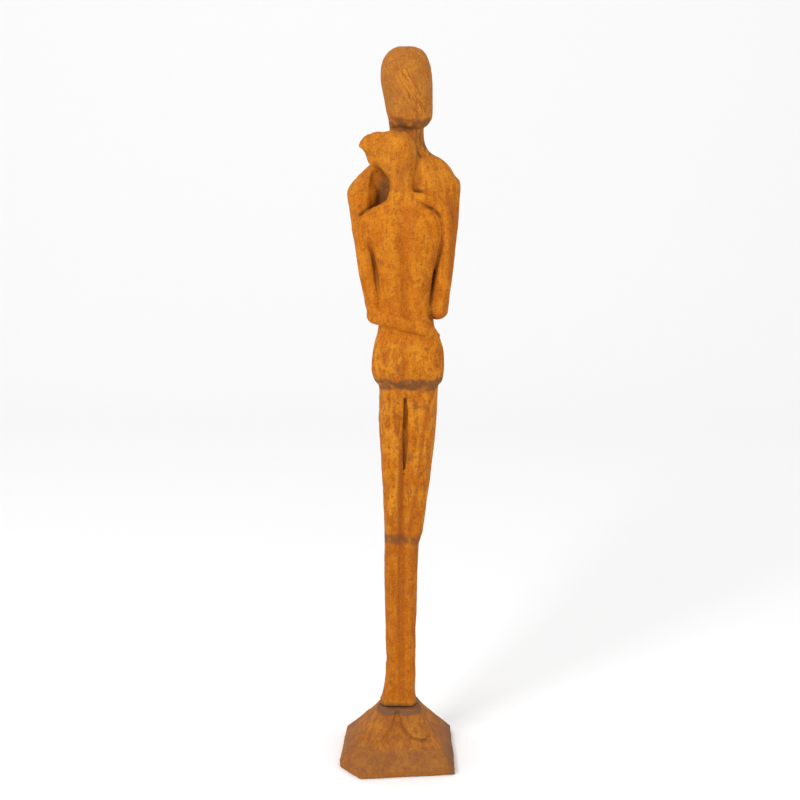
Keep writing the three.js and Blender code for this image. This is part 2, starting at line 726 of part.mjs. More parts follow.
// Collapses the edges of a closed surface, cheapest first, until a number of triangles is left. The cost
// of a collapse is how far it moves the surface off the planes that it started from.
class Simplifier {
  constructor(geometry) {
    const { position } = geometry.attributes;
    this.points = [];
    for (let n = 0; n < position.count; n++)
      this.points.push(new THREE.Vector3().fromBufferAttribute(position, n));
    this.faces = [];
    this.facesOf = this.points.map(() => new Set());
    this.quadrics = this.points.map(() => new Float64Array(10));
    this.version = this.points.map(() => 0);
    for (let n = 0; n < geometry.index.count; n += 3) {
      const face = [0, 1, 2].map((corner) => geometry.index.getX(n + corner));
      for (const corner of face) this.facesOf[corner].add(this.faces.length);
      this.faces.push(face);
    }
    this.faces.forEach((face) => {
      const { x: a, y: b, z: c } = this.normal(face);
      const area = Math.hypot(a, b, c);
      const d = -(a * this.points[face[0]].x + b * this.points[face[0]].y + c * this.points[face[0]].z);
      const products = [a * a, a * b, a * c, a * d, b * b, b * c, b * d, c * c, c * d, d * d];
      for (const corner of face) products.forEach((v, n) => (this.quadrics[corner][n] += v / area));
    });
    this.left = this.faces.length;
    this.heap = new EdgeHeap();
    this.points.forEach((_, a) => {
      for (const b of this.neighbours(a)) if (a < b) this.weigh(a, b);
    });
  }

  // A triangle's direction, as long as twice its area, with one corner moved if asked.
  normal(face, moved, place) {
    const [a, b, c] = face.map((corner) => (corner === moved ? place : this.points[corner]));
    return b.clone().sub(a).cross(c.clone().sub(a));
  }

  neighbours(vertex) {
    const found = new Set();
    for (const n of this.facesOf[vertex]) for (const corner of this.faces[n]) found.add(corner);
    found.delete(vertex);
    return found;
  }

  costAt(q, { x, y, z }) {
    const squares = q[0] * x * x + q[4] * y * y + q[7] * z * z + q[9];
    return squares + 2 * (q[1] * x * y + q[2] * x * z + q[3] * x + q[5] * y * z + q[6] * y + q[8] * z);
  }

  // Puts an edge on the heap with its best new place and cost.
  weigh(a, b) {
    const q = this.quadrics[a].map((v, n) => v + this.quadrics[b][n]);
    const [start, end] = [this.points[a], this.points[b]];
    const middle = start.clone().lerp(end, 0.5);
    const places = [middle, start.clone(), end.clone()];
    const matrix = new THREE.Matrix3().set(q[0], q[1], q[2], q[1], q[4], q[5], q[2], q[5], q[7]);
    if (Math.abs(matrix.determinant()) > 1e-3) {
      const best = new THREE.Vector3(-q[3], -q[6], -q[8]).applyMatrix3(matrix.invert());
      if (best.distanceTo(middle) < start.distanceTo(end)) places.unshift(best);
    }
    const costs = places.map((place) => this.costAt(q, place) + LENGTH_COST * start.distanceToSquared(end));
    const least = costs.indexOf(Math.min(...costs));
    const stamp = this.version[a] + this.version[b];
    this.heap.push({ a, b, cost: costs[least], place: places[least], q, stamp });
  }

  // Whether an edge can go without a fold, a flip or two surfaces that touch.
  canCollapse(a, b, place) {
    const nearB = this.neighbours(b);
    const shared = [...this.neighbours(a)].filter((vertex) => nearB.has(vertex));
    if (shared.length !== 2) return false;
    for (const vertex of [a, b])
      for (const n of this.facesOf[vertex]) {
        const face = this.faces[n];
        if (face.includes(a) && face.includes(b)) continue;
        const [before, after] = [this.normal(face), this.normal(face, vertex, place)];
        const turn = before.dot(after) / (before.length() * after.length());
        if (after.length() < LEAST_AREA || turn < LEAST_TURN) return false;
      }
    return true;
  }

  collapse({ a, b, place, q }) {
    this.points[a] = place;
    this.quadrics[a] = q;
    for (const n of this.facesOf[b]) {
      const face = this.faces[n];
      if (face.includes(a)) {
        for (const corner of face) this.facesOf[corner].delete(n);
        this.faces[n] = null;
        this.left--;
      } else {
        face[face.indexOf(b)] = a;
        this.facesOf[a].add(n);
      }
    }
    this.facesOf[b].clear();
    this.version[a]++;
    this.version[b] += Number.MAX_SAFE_INTEGER / 4;
    for (const vertex of this.neighbours(a)) this.weigh(a, vertex);
  }

  run(most) {
    while (this.left > most && this.heap.items.length) {
      const edge = this.heap.pop();
      const { a, b, place, stamp } = edge;
      if (stamp !== this.version[a] + this.version[b]) continue;
      if (this.canCollapse(a, b, place)) this.collapse(edge);
    }
    const kept = this.points.map((_, n) => n).filter((n) => this.facesOf[n].size);
    const number = new Map(kept.map((n, place) => [n, place]));
    const geometry = new THREE.BufferGeometry();
    const positions = kept.flatMap((n) => this.points[n].toArray());
    geometry.setAttribute("position", new THREE.Float32BufferAttribute(positions, 3));
    geometry.setIndex(this.faces.filter(Boolean).flatMap((face) => face.map((n) => number.get(n))));
    return geometry;
  }
}

// ---- Solids --------------------------------------------------------------------------------------------

function solidOf(geometry) {
  const bare = geometry.clone();
  bare.deleteAttribute("normal");
  bare.deleteAttribute("uv");
  const merged = mergeVertices(bare, 1e-4);
  return new wasm.Manifold(
    new wasm.Mesh({
      numProp: 3,
      vertProperties: merged.attributes.position.array,
      triVerts: new Uint32Array(merged.index.array),
    }),
  );
}

function geometryOf(solid) {
  const { vertProperties, triVerts } = solid.getMesh();
  const geometry = new THREE.BufferGeometry();
  geometry.setAttribute("position", new THREE.Float32BufferAttribute(vertProperties, 3));
  geometry.setIndex([...triVerts]);
  geometry.computeVertexNormals();
  return geometry;
}

// A box that fills the space from one height to another.
function slab(low, high) {
  const width = 400;
  const box = new THREE.BoxGeometry(width, width, high - low);
  box.translate(0, 0, (low + high) / 2);
  return solidOf(box);
}

function coupleGeometry() {
  const clay = new Clay();
  addLegs(clay);
  addBackFigure(clay);
  addFrontFigure(clay);
  clay.add(limb(...LOW_FOREARM), 3);
  cutCreases(clay);
  const skin = new Skin(clay, [
    gridLines(-96, 112, () => 4.6),
    gridLines(-80, 88, () => 4.8),
    gridLines(JOINT_HEIGHT - 40, STATUE_HEIGHT + 12, (z) => (z < 640 ? 9 : 4.8)),
  ]);
  const cut = solidOf(new Simplifier(skin.geometry()).run(COUPLE_TRIANGLES));
  return geometryOf(cut.subtract(slab(-100, JOINT_HEIGHT)));
}

function moundGeometry() {
  const outlines = [{ points: moundOutline(0), z: 0 }];
  for (let n = 0; n <= MOUND_STEPS; n++) {
    const rise = n / MOUND_STEPS;
    outlines.push({ points: moundOutline(rise), z: RIM_HEIGHT + rise * (MOUND_HEIGHT - RIM_HEIGHT) });
  }
  const feet = FEET.map((shape) => {
    const clay = new Clay();
    clay.add(foot(shape), 1);
    const lines = [gridLines(-66, 76, () => 4), gridLines(-96, 0, () => 4), gridLines(34, 130, () => 4)];
    return solidOf(new Simplifier(new Skin(clay, lines).geometry()).run(FOOT_TRIANGLES));
  });
  const mound = feet.reduce((solid, added) => solid.add(added), solidOf(loft(outlines)));
  return geometryOf(mound.subtract(slab(MOUND_HEIGHT, MOUND_HEIGHT + 100)));
}

// ---- Scene ---------------------------------------------------------------------------------------------

function piece(name, geometry, color) {
  const material = new THREE.MeshStandardMaterial({ color, roughness: 0.9, metalness: 0.1 });
  const mesh = new THREE.Mesh(geometry, material);
  mesh.name = name;
  return mesh;
}

const statue = new THREE.Group();
statue.add(piece("embracing_couple", coupleGeometry(), 0xb8651a));
statue.add(piece("mound_base", moundGeometry(), 0x9a5a2a));

export default statue;
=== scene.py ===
"""The looks of the cast iron garden statue: both figures and the mound, rusted all over.

Shapes are given in millimetres in the frame of the CAD model (+Z up, -Y the front) and turned into
metres when a mesh is made. Each piece is modelled like clay: rounded shapes are added to and cut from a
grid of signed distances (negative inside), and the grid is skinned with one vertex per crossed cell.
"""

import bpy
import numpy as np
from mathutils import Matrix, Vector


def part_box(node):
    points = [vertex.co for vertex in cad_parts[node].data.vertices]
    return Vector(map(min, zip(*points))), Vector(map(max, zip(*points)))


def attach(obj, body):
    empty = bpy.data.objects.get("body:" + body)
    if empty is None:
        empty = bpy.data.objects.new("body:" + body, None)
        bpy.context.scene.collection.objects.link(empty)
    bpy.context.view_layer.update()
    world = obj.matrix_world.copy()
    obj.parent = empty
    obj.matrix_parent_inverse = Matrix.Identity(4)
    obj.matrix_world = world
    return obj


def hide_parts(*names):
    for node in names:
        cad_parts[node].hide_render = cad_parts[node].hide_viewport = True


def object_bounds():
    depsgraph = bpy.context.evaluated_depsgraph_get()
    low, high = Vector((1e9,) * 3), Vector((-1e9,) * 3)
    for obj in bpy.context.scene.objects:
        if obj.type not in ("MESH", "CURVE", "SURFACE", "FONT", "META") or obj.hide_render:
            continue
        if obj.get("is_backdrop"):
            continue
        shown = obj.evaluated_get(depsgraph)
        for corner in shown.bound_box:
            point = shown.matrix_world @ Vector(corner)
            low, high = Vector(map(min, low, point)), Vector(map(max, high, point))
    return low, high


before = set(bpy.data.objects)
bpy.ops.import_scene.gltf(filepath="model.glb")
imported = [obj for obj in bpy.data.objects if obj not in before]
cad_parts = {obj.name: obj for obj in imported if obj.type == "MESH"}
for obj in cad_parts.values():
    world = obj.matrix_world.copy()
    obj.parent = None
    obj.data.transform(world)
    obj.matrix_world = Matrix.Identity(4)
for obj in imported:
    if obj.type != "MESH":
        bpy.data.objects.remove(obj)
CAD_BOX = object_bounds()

MM = 0.001

# ---- Clay --------------------------------------------------------------------------------------------

FAR = 40.0  # the distance where nothing has been added yet
REACH = 26.0  # how far round its own box a shape is worked out


def smooth_min(a, b, blend):
    """The smaller of two distances, rounded over a width of blend."""
    h = np.maximum(blend - np.abs(a - b), 0) / blend
    return np.minimum(a, b) - h * h * blend / 4


def smooth_max(a, b, blend):
    return -smooth_min(-a, -b, blend)


class Shape:
    """A signed distance, and the box outside which it is far away."""

    def __init__(self, distance, low, high):
        self.distance = distance
        self.low = np.array(low, float) - REACH
        self.high = np.array(high, float) + REACH


class Clay:
    """Shapes added and cut in turn."""

    def __init__(self):
        self.steps = []

    def add(self, shape, blend):
        self.steps.append((1, shape, blend))

    def cut(self, shape, blend):
        self.steps.append((-1, shape, blend))

    @staticmethod
    def merged(old, kind, new, blend):
        return smooth_min(old, new, blend) if kind > 0 else smooth_max(old, -new, blend)

    def on_grid(self, lines):
        value = np.full([len(line) for line in lines], FAR, np.float32)
        for kind, shape, blend in self.steps:
            window = []
            for line, low, high in zip(lines, shape.low, shape.high):
                window.append(slice(np.searchsorted(line, low), np.searchsorted(line, high)))
            x, y, z = (line[part].astype(np.float32) for line, part in zip(lines, window))
            new = shape.distance(x[:, None, None], y[None, :, None], z[None, None, :])
            window = tuple(window)
            value[window] = self.merged(value[window], kind, new, blend)
        return value

    def at(self, points):
        value = np.full(len(points), FAR)
        for kind, shape, blend in self.steps:
            near = np.all((points > shape.low) & (points < shape.high), axis=1)
            new = shape.distance(*points[near].T)
            value[near] = self.merged(value[near], kind, new, blend)
        return value

    def slope(self, points, nudge=0.6):
        step = np.eye(3) * nudge
        ahead = [self.at(points + move) - self.at(points - move) for move in step]
        return np.stack(ahead, axis=1) / (2 * nudge)


# ---- Shapes to add and cut -----------------------------------------------------------------------------


def limb(*stations):
    """A limb through stations (x, y, z, radius), like a chain of rounded cones."""
    ends = np.array(stations, float)

    def distance(x, y, z):
        nearest = np.float32(1e3)
        for start, end in zip(ends[:-1], ends[1:]):
            ax, ay, az, grow = (float(part) for part in end - start)
            dx, dy, dz = x - float(start[0]), y - float(start[1]), z - float(start[2])
            t = (dx * ax + dy * ay + dz * az) / (ax * ax + ay * ay + az * az)
            t = np.clip(t, 0, 1)
            gap = np.sqrt((dx - t * ax) ** 2 + (dy - t * ay) ** 2 + (dz - t * az) ** 2)
            nearest = np.minimum(nearest, gap - float(start[3]) - t * grow)
        return nearest

    places, radii = ends[:, :3], ends[:, 3:]
    return Shape(distance, (places - radii).min(axis=0), (places + radii).max(axis=0))


def lump(centre, radii, power=2.0):
    """A rounded lump; a power of 2 is an ellipsoid, and a higher one is squarer."""

    def distance(x, y, z):
        parts = [np.abs(a - c) / r for a, c, r in zip((x, y, z), centre, radii)]
        size = sum(part**power for part in parts) ** (1 / power)
        size = np.maximum(size, 1e-3)
        pulls = [(part / size) ** (power - 1) / r for part, r in zip(parts, radii)]
        return (size - 1) / np.sqrt(sum(pull**2 for pull in pulls))

    centre, radii = np.array(centre, float), np.array(radii, float)
    shape = Shape(distance, centre - radii, centre + radii)
    centre, radii = [float(c) for c in centre], [float(r) for r in radii]
    return shape


def between(rows, z):
    """Smooth values at heights z, through rows (height, value...)."""
    rows = np.array(rows, float)
    heights, values = rows[:, 0], rows[:, 1:]
    last = len(rows) - 1
    slopes = np.empty_like(values)
    for n in range(last + 1):
        a, b = max(n - 1, 0), min(n + 1, last)
        slopes[n] = (values[b] - values[a]) / (heights[b] - heights[a])
    n = np.clip(np.searchsorted(heights, z, side="right") - 1, 0, last - 1)
    span = heights[n + 1] - heights[n]
    t = np.clip((z - heights[n]) / span, 0, 1)
    t2, t3 = t * t, t * t * t
    result = []
    for column in range(values.shape[1]):
        p, q = values[n, column], values[n + 1, column]
        m0, m1 = slopes[n, column] * span, slopes[n + 1, column] * span
        result.append(
            (2 * t3 - 3 * t2 + 1) * p + (t3 - 2 * t2 + t) * m0 + (3 * t2 - 2 * t3) * q + (t3 - t2) * m1
        )
    return result


def trunk(rows, power, end_round):
    """An upright body through rows (height, left, right, front, back), with rounded ends."""
    bottom, top = rows[0][0], rows[-1][0]

    def distance(x, y, z):
        left, right, front, back = between(rows, np.clip(z, bottom, top).astype(float))
        rx, ry = (right - left) / 2, (back - front) / 2
        u = np.abs(x - (left + right) / 2) / rx
        v = np.abs(y - (front + back) / 2) / ry
        size = np.maximum((u**power + v**power) ** (1 / power), 1e-3)
        pull = np.hypot((u / size) ** (power - 1) / rx, (v / size) ** (power - 1) / ry)
        return smooth_max((size - 1) / pull, np.maximum(bottom - z, z - top), end_round)

    wide = 200
    return Shape(distance, (-wide, -wide, bottom), (wide, wide, top))


# ---- Skin ----------------------------------------------------------------------------------------------

FILLED = -0.05  # the distance given to a corner that is filled, just inside the surface


def grid_line(low, high, step):
    """Grid positions from low to past high, whose spacing is step(position)."""
    line = [low]
    while line[-1] < high:
        line.append(line[-1] + step(line[-1]))
    return np.array(line)


def close_diagonals(value):
    """Fills the faces whose corners meet only across a diagonal, for a skin that is one clean surface."""
    changed = True
    while changed:
        changed = False
        for axis in range(3):
            u, v = [n for n in range(3) if n != axis]
            parts = []
            for du in (0, 1):
                for dv in (0, 1):
                    part = [slice(None)] * 3
                    part[u] = slice(du, value.shape[u] - 1 + du)
                    part[v] = slice(dv, value.shape[v] - 1 + dv)
                    parts.append(value[tuple(part)])
            a, b, c, d = (part < 0 for part in parts)
            bad = (a == d) & (b == c) & (a != b)
            if not bad.any():
                continue
            changed = True
            for inside, first, second in ((a, parts[1], parts[2]), (b, parts[0], parts[3])):
                pick = bad & inside
                lower = pick & (first <= second)
                first[lower] = FILLED
                second[pick & ~lower] = FILLED


def skin(value, lines):
    """The vertices and quads of the surface of a grid of distances."""
    inside = value < 0
    cells = np.array(value.shape) - 1
    crossings = []
    owners, places = [], []
    for axis in range(3):
        u, v = (axis + 1) % 3, (axis + 2) % 3
        first, second = [slice(None)] * 3, [slice(None)] * 3
        first[axis], second[axis] = slice(0, -1), slice(1, None)
        start = np.argwhere(inside[tuple(first)] != inside[tuple(second)])
        end = start.copy()
        end[:, axis] += 1
        a, b = value[tuple(start.T)], value[tuple(end.T)]
        place = np.stack([line[start[:, n]] for n, line in enumerate(lines)], axis=1)
        span = lines[axis][end[:, axis]] - lines[axis][start[:, axis]]
        place[:, axis] += a / (a - b) * span
        ring = []
        for du, dv in ((0, 0), (1, 0), (1, 1), (0, 1)):
            cell = start.copy()
            cell[:, u] -= du
            cell[:, v] -= dv
            ring.append(np.ravel_multi_index(cell.T, cells, mode="clip"))
            owners.append(ring[-1])
            places.append(place)
        ring = np.stack(ring, axis=1)
        outward = inside[tuple(start.T)]
        ring[~outward] = ring[~outward][:, ::-1]
        crossings.append(ring)
    owners, places = np.concatenate(owners), np.concatenate(places)
    used, vertex = np.unique(owners, return_inverse=True)
    count = np.bincount(vertex)
    points = np.stack([np.bincount(vertex, places[:, n]) / count for n in range(3)], axis=1)
    quads = np.searchsorted(used, np.concatenate(crossings))
    return points, quads


def largest_part(points, quads):
    """Leaves out every loose part but the one with the most vertices."""
    label = np.arange(len(points))
    edges = np.concatenate([quads[:, [n, (n + 1) % 4]] for n in range(4)])
    while True:
        low = label[edges].min(axis=1)
        new = label.copy()
        np.minimum.at(new, edges[:, 0], low)
        np.minimum.at(new, edges[:, 1], low)
        new = new[new]
        if np.array_equal(new, label):
            break
        label = new
    keep = label == np.bincount(label).argmax()
    number = np.cumsum(keep) - 1
    return points[keep], number[quads[keep[quads[:, 0]]]]


def settled(clay, points, most, rounds=2):
    """The points moved onto the surface, by at most a given distance."""
    moved = points.copy()
    for _ in range(rounds):
        slope = clay.slope(moved)
        steepness = np.maximum((slope**2).sum(axis=1), 0.25)
        moved -= (clay.at(moved) / steepness)[:, None] * slope
    move = moved - points
    length = np.maximum(np.linalg.norm(move, axis=1), 1e-6)
    return points + move * np.minimum(1, most / length)[:, None]


def skinned(clay, lines):
    """A clean surface of the clay: vertices, quads and outward directions."""
    value = clay.on_grid(lines)
    close_diagonals(value)
    points, quads = largest_part(*skin(value, lines))
    points = settled(clay, points, 0.9)
    slope = clay.slope(points, 1.2)
    outward = slope / np.maximum(np.linalg.norm(slope, axis=1), 1e-6)[:, None]
    return points, quads, outward


# ---- Noise and marks -----------------------------------------------------------------------------------


def ramp(value, start, end):
    """0 at start and 1 at end, smooth between."""
    t = np.clip((value - start) / (end - start), 0, 1)
    return t * t * (3 - 2 * t)


def band(value, low, high, soft):
    """1 from low to high and 0 further than soft outside."""
    return ramp(value, low - soft, low) * (1 - ramp(value, high, high + soft))


def noise(points, scale, seed):
    """Smooth noise from -1 to 1; scale is its grain in mm, or one grain for each axis."""
    side = 32
    table = np.random.default_rng(seed).uniform(-1, 1, (side, side, side))
    place = points / np.array(scale, float)
    base = np.floor(place).astype(int)
    t = place - base
    t = t * t * (3 - 2 * t)
    total = np.zeros(len(points))
    for corner in np.ndindex(2, 2, 2):
        weight = np.prod(np.where(corner, t, 1 - t), axis=1)
        i, j, k = ((base + corner) % side).T
        total += weight * table[i, j, k]
    return total


def turned(points, angle):
    """The points turned in the front plane, so that noise can be stretched along a slant."""
    c, s = np.cos(np.radians(angle)), np.sin(np.radians(angle))
    x, y, z = points.T
    return np.stack([c * x + s * z, y, c * z - s * x], axis=1)


def stroke(points, start, end, width):
    """1 on the line from start to end, (x, z) as seen from the front, and 0 at width from it."""
    start, end = np.array(start, float), np.array(end, float)
    flat = points[:, [0, 2]] - start
    along = end - start
    t = np.clip(flat @ along / max(along @ along, 1e-6), 0, 1)
    gap = np.linalg.norm(flat - t[:, None] * along, axis=1)
    return (1 - ramp(gap, 0, width)) * np.sin(np.pi * np.clip(t, 0.12, 0.88)) ** 0.3


def openness(clay, points, outward, reaches=(4, 9, 18)):
    """How open the space before each point is: 1 in the open, near 0 in a narrow crease."""
    shares = [np.clip(clay.at(points + outward * r) / r, 0, 1) for r in reaches]
    return sum(shares) / len(shares)


def thinness(clay, points, outward, reach=5):
    """How sharp the form under each point is: 0 where it is broad, and more on its edges."""
    return np.clip(1 + clay.at(points - outward * reach) / reach, 0, 1)


# ---- The couple ----------------------------------------------------------------------------------------

LEG_POWER = 3
BODY_POWER = 2.3

# Both pairs of legs are one column: (height, left, middle, right, front, back).
LEG_ROWS = [
    (90, -34, 5, 36, -29, 29),
    (100, -31, 5, 34, -28.5, 28),
    (106, -28, 5, 33, -28, 27.5),
    (113, -26, 5, 32, -27, 27),
    (121, -24.5, 5, 31.5, -26.5, 27),
    (130, -23, 5, 31.5, -26, 27),
    (150, -20.5, 5, 32.5, -26, 27),
    (166, -20.5, 5, 32.5, -26, 27),
    (174, -19, 5, 32, -24.5, 26),
    (250, -20.5, 5, 33, -26, 28),
    (330, -22, 6, 35.5, -27, 32),
    (392, -21.5, 8, 37.5, -27, 29),
    (416, -21.5, 9, 43.5, -31, 32),
    (480, -24, 11, 52, -36, 37),
    (540, -27, 13, 59.5, -41, 41),
    (608, -30, 14, 66, -46, 45),
    (660, -29.5, 15.5, 68, -49, 48),
    (684, -31, 16, 70, -50, 49),
]
LEG_OVERLAP = 3
WEB_HALF_WIDTH = 8
WEB_ROWS = [(90, 1), (166, 2), (180, 5), (380, 6), (420, 7), (560, 7), (684, 4)]


def add_legs(clay):
    left_leg, right_leg, web = [], [], []
    for z, left, middle, right, front, back in LEG_ROWS:
        recess = float(between(WEB_ROWS, np.array(z))[0])
        left_leg.append((z, left, middle + LEG_OVERLAP, front, back))
        right_leg.append((z, middle - LEG_OVERLAP, right, front, back))
        sides = (middle - WEB_HALF_WIDTH, middle + WEB_HALF_WIDTH)
        web.append((z, *sides, front + recess, back - recess))
    clay.add(trunk(left_leg, LEG_POWER, 2), 2)
    clay.add(trunk(right_leg, LEG_POWER, 2), 3)
    clay.add(trunk(web, LEG_POWER, 2), 6)


BACK_TRUNK = [
    (664, -20, 54, -6, 40),
    (679, -33, 70, -6, 52),
    (690, -38, 74, -6, 58),
    (705, -40, 76, -6, 61),
    (738, -37, 74, -6, 57),
    (768, -29, 62.5, -6, 47),
    (820, -32, 62, -6, 52),
    (880, -42, 74, -4, 60),
    (940, -52, 82, -2, 66),
    (985, -58, 84, 0, 62),
    (1010, -42, 70, 0, 54),
    (1030, -20, 44, 0, 50),
]


# The taller figure's head: straight on the right, and narrower towards the neck on the left.
HEAD_ROWS = [
    (1090, -9, 42, -12, 42),
    (1098, -11, 51, -20, 46),
    (1107, -13.5, 57, -25, 49),
    (1120, -17, 58.2, -28, 53),
    (1145, -22.2, 57.8, -32, 57),
    (1168, -26.2, 57, -33, 58),
    (1186, -25.7, 54.8, -31, 55),
    (1199, -22.5, 51, -26, 49),
    (1209, -16.5, 46, -17, 41),
    (1216, -8.5, 40, -7, 32),
    (1221, 0, 31, 3, 22),
]


RIGHT_UPPER_ARM = [
    (77.6, 8, 985, 25.5),
    (78.5, 4, 935, 22),
    (76, 2, 890, 19.5),
    (71.5, -4, 840, 18.5),
    (66, -8, 799.5, 18.5),
]
# Folded up before the upper arm, to the neck of the shorter figure.
RIGHT_FOREARM = [
    (67, -15, 799, 16.5),
    (74, -20, 846, 14.5),
    (77, -25, 886, 11),
    (80, -28, 918, 9.5),
    (81, -29, 942, 9),
    (75, -31, 964, 9.5),
    (61, -32, 976, 9.5),
    (44, -34, 982, 9.5),
    (27, -37, 986, 7),
]
LEFT_UPPER_ARM = [
    (-54, 12, 984, 26.5),
    (-56, 12, 930, 18.5),
    (-49, 8, 870, 15),
    (-38.5, -6, 806, 13.5),
]


def add_back_figure(clay):
    """The taller figure, behind: trunk, neck, shoulders, the hollow beside its left shoulder, head, arms."""
    clay.add(trunk(BACK_TRUNK, BODY_POWER, 8), 6)
    clay.add(limb((14, 20, 1000, 30), (16, 18, 1100, 27.5)), 10)
    clay.add(limb((18, 16, 1058, 18), (72, 10, 1010, 22.5), (77.6, 8, 998, 26.5)), 16)
    clay.add(limb((8, 18, 1060, 16), (-46, 14, 1001, 23), (-54, 12, 984, 26.5)), 12)
    clay.add(lump((54, 4, 1000), (36, 27, 46), 2.3), 10)
    clay.add(limb((38, -9, 1030, 18), (50, -10, 1002, 24), (68, -10, 972, 23)), 8)
    clay.add(limb((-56, 3, 996, 16), (-57, -2, 966, 16)), 8)
    clay.cut(lump((-26, -20, 991), (18, 24, 41), 4), 2.5)
    clay.add(trunk(HEAD_ROWS, 2.35, 7), 5)
    clay.add(limb(*RIGHT_UPPER_ARM), 5)
    clay.add(limb(*RIGHT_FOREARM), 3)
    clay.add(limb(*LEFT_UPPER_ARM), 5)


LOW_FOREARM = [
    (-36, -26, 791, 13.7),
    (-14, -42, 788, 13.5),
    (13, -46, 782, 14.5),
    (36, -43, 774, 13),
    (54, -35, 767, 10),
    (66, -23, 757, 5),
]

FRONT_TRUNK = [
    (664, -20, 54, -40, 6),
    (679, -34, 72, -53, 6),
    (690, -39.5, 76, -58, 6),
    (705, -42, 78, -61, 6),
    (738, -38.5, 75.5, -56, 6),
    (768, -31, 63, -47, 6),
    (800, -30, 54, -48, 6),
    (850, -33, 57, -54, 6),
    (890, -38, 66, -60, 6),
    (920, -50, 72, -62, 4),
    (945, -62, 72, -58, 2),
    (962, -48, 62, -52, 0),
    (978, -18, 38, -46, -2),
    (990, -12, 28, -42, -2),
]


# The brow of the shorter figure's head, to its point on the left.
BROW = [
    (-2, -20, 1060, 29.5),
    (-30, -20, 1066, 22),
    (-42, -20, 1068, 16),
    (-52, -20, 1067.5, 8.5),
    (-57.5, -20, 1066, 4.2),
]
FRONT_UPPER_ARM = [
    (-51, -32, 941, 14),
    (-55, -30, 905, 13.5),
    (-48.5, -28, 860, 13.5),
    (-40, -27, 818, 13),
    (-36, -26, 798, 13),
]
# The shorter figure's forearms, round the taller one's back.
BACK_FOREARMS = [
    [(-40, -18, 812, 13), (-41, 18, 814, 12), (-30, 42, 822, 13), (8, 51, 834, 13), (34, 53, 842, 9)],
    [(70, 20, 884, 12), (62, 42, 892, 13), (34, 56, 902, 13), (2, 62, 908, 9)],
]


def add_front_figure(clay):
    """The shorter figure, in front: trunk, neck, head with its brow and chin, and arms."""
    clay.add(trunk(FRONT_TRUNK, BODY_POWER, 6), 4)
    clay.add(limb((8, -22, 970, 19), (8, -21, 1000, 19.5), (8, -20, 1042, 22)), 8)
    clay.add(lump((1, -20, 1052), (30, 28, 38.5), 2.3), 8)
    clay.add(limb(*BROW), 4)
    clay.add(limb((-5, -20, 1050, 25), (-36, -20, 1045, 11.5)), 4)
    clay.add(limb((-43, -20, 1053.5, 8), (-38, -20, 1042, 7)), 3)
    clay.add(limb(*FRONT_UPPER_ARM), 4)
    for forearm in BACK_FOREARMS:
        clay.add(limb(*forearm), 4)


ARM_GROOVES = [
    ([(-48, -50, 920, 1), (-40, -51, 895, 2.2), (-33, -48, 856, 3), (-29, -42, 816, 3.6)], 3),
    ([(67, -50, 890, 1), (59, -47, 846, 2), (54, -38, 815, 3), (53, -28, 790, 4)], 4),
]
FRONT_SPINE = [
    (9, -61.5, 960, 8),
    (11, -68.5, 925, 12),
    (13, -65, 880, 12),
    (16, -58.5, 840, 11),
    (20, -53, 800, 10),
]
BACK_SPINE = [
    (16, 70, 968, 6),
    (16, 74, 930, 7),
    (16, 66, 868, 7),
    (16, 60, 800, 8),
    (16, 57, 770, 7),
]
# The slot high between the thighs: (x, how much shallower than its top, z, radius).
THIGH_SLOT = [
    (13.5, 0, 654, 3.2),
    (14.5, 1, 632, 4.2),
    (13, 3, 600, 4),
    (13.5, 4, 572, 4.4),
    (12.5, 5, 547, 3),
    (11, 7, 520, 0.6),
]
SLOT_DEPTHS = (45, 38)


def cut_creases(clay):
    # Down each side of the legs, between the two figures.
    for column, out in ((1, -3), (3, 3)):
        seam = [(row[column] + out, 1, row[0], 5) for row in LEG_ROWS if row[0] > 120]
        clay.cut(limb(*seam), 4)
    # Between the arms and the shorter figure's back.
    for groove, blend in ARM_GROOVES:
        clay.cut(limb(*groove), blend)
    # Both spines, and the cleft below each.
    clay.cut(limb(*FRONT_SPINE), 9)
    clay.cut(limb(*BACK_SPINE), 8)
    for y in (-64, 64):
        clay.cut(limb((16, y, 738, 3), (16, y - np.sign(y) * 3, 690, 4)), 6)
    # Beside the neck of the shorter figure.
    clay.cut(limb((32, -24, 1066, 1.5), (31, -32, 996, 1.5)), 2)
    # High between the thighs.
    for side in (-1, 1):
        for depth in SLOT_DEPTHS:
            slot = [(x, side * (depth - rise), z, radius) for x, rise, z, radius in THIGH_SLOT]
            clay.cut(limb(*slot), 2)


def couple_clay():
    clay = Clay()
    add_legs(clay)
    add_back_figure(clay)
    add_front_figure(clay)
    clay.add(limb(*LOW_FOREARM), 3)
    cut_creases(clay)
    return clay


# ---- Meshes --------------------------------------------------------------------------------------------


def mesh_object(name, points, quads, masks):
    """A smooth-shaded mesh in metres with its masks as attributes."""
    mesh = bpy.data.meshes.new(name)
    mesh.vertices.add(len(points))
    mesh.vertices.foreach_set("co", (points * MM).astype(np.float32).ravel())
    mesh.loops.add(quads.size)
    mesh.loops.foreach_set("vertex_index", quads.astype(np.int32).ravel())
    mesh.polygons.add(len(quads))
    mesh.polygons.foreach_set("loop_start", np.arange(0, quads.size, 4, dtype=np.int32))
    mesh.update(calc_edges=True)
    mesh.validate()
    mesh.polygons.foreach_set("use_smooth", np.ones(len(mesh.polygons), bool))
    for mask, values in masks.items():
        layer = mesh.attributes.new(mask, "FLOAT", "POINT")
        layer.data.foreach_set("value", np.clip(values, 0, 1).astype(np.float32))
    result = bpy.data.objects.new(name, mesh)
    bpy.context.scene.collection.objects.link(result)
    return result


JOINT_HEIGHT = 100
SEAM_HEIGHT = 684  # under the buttocks
KNEE_HEIGHT = 408


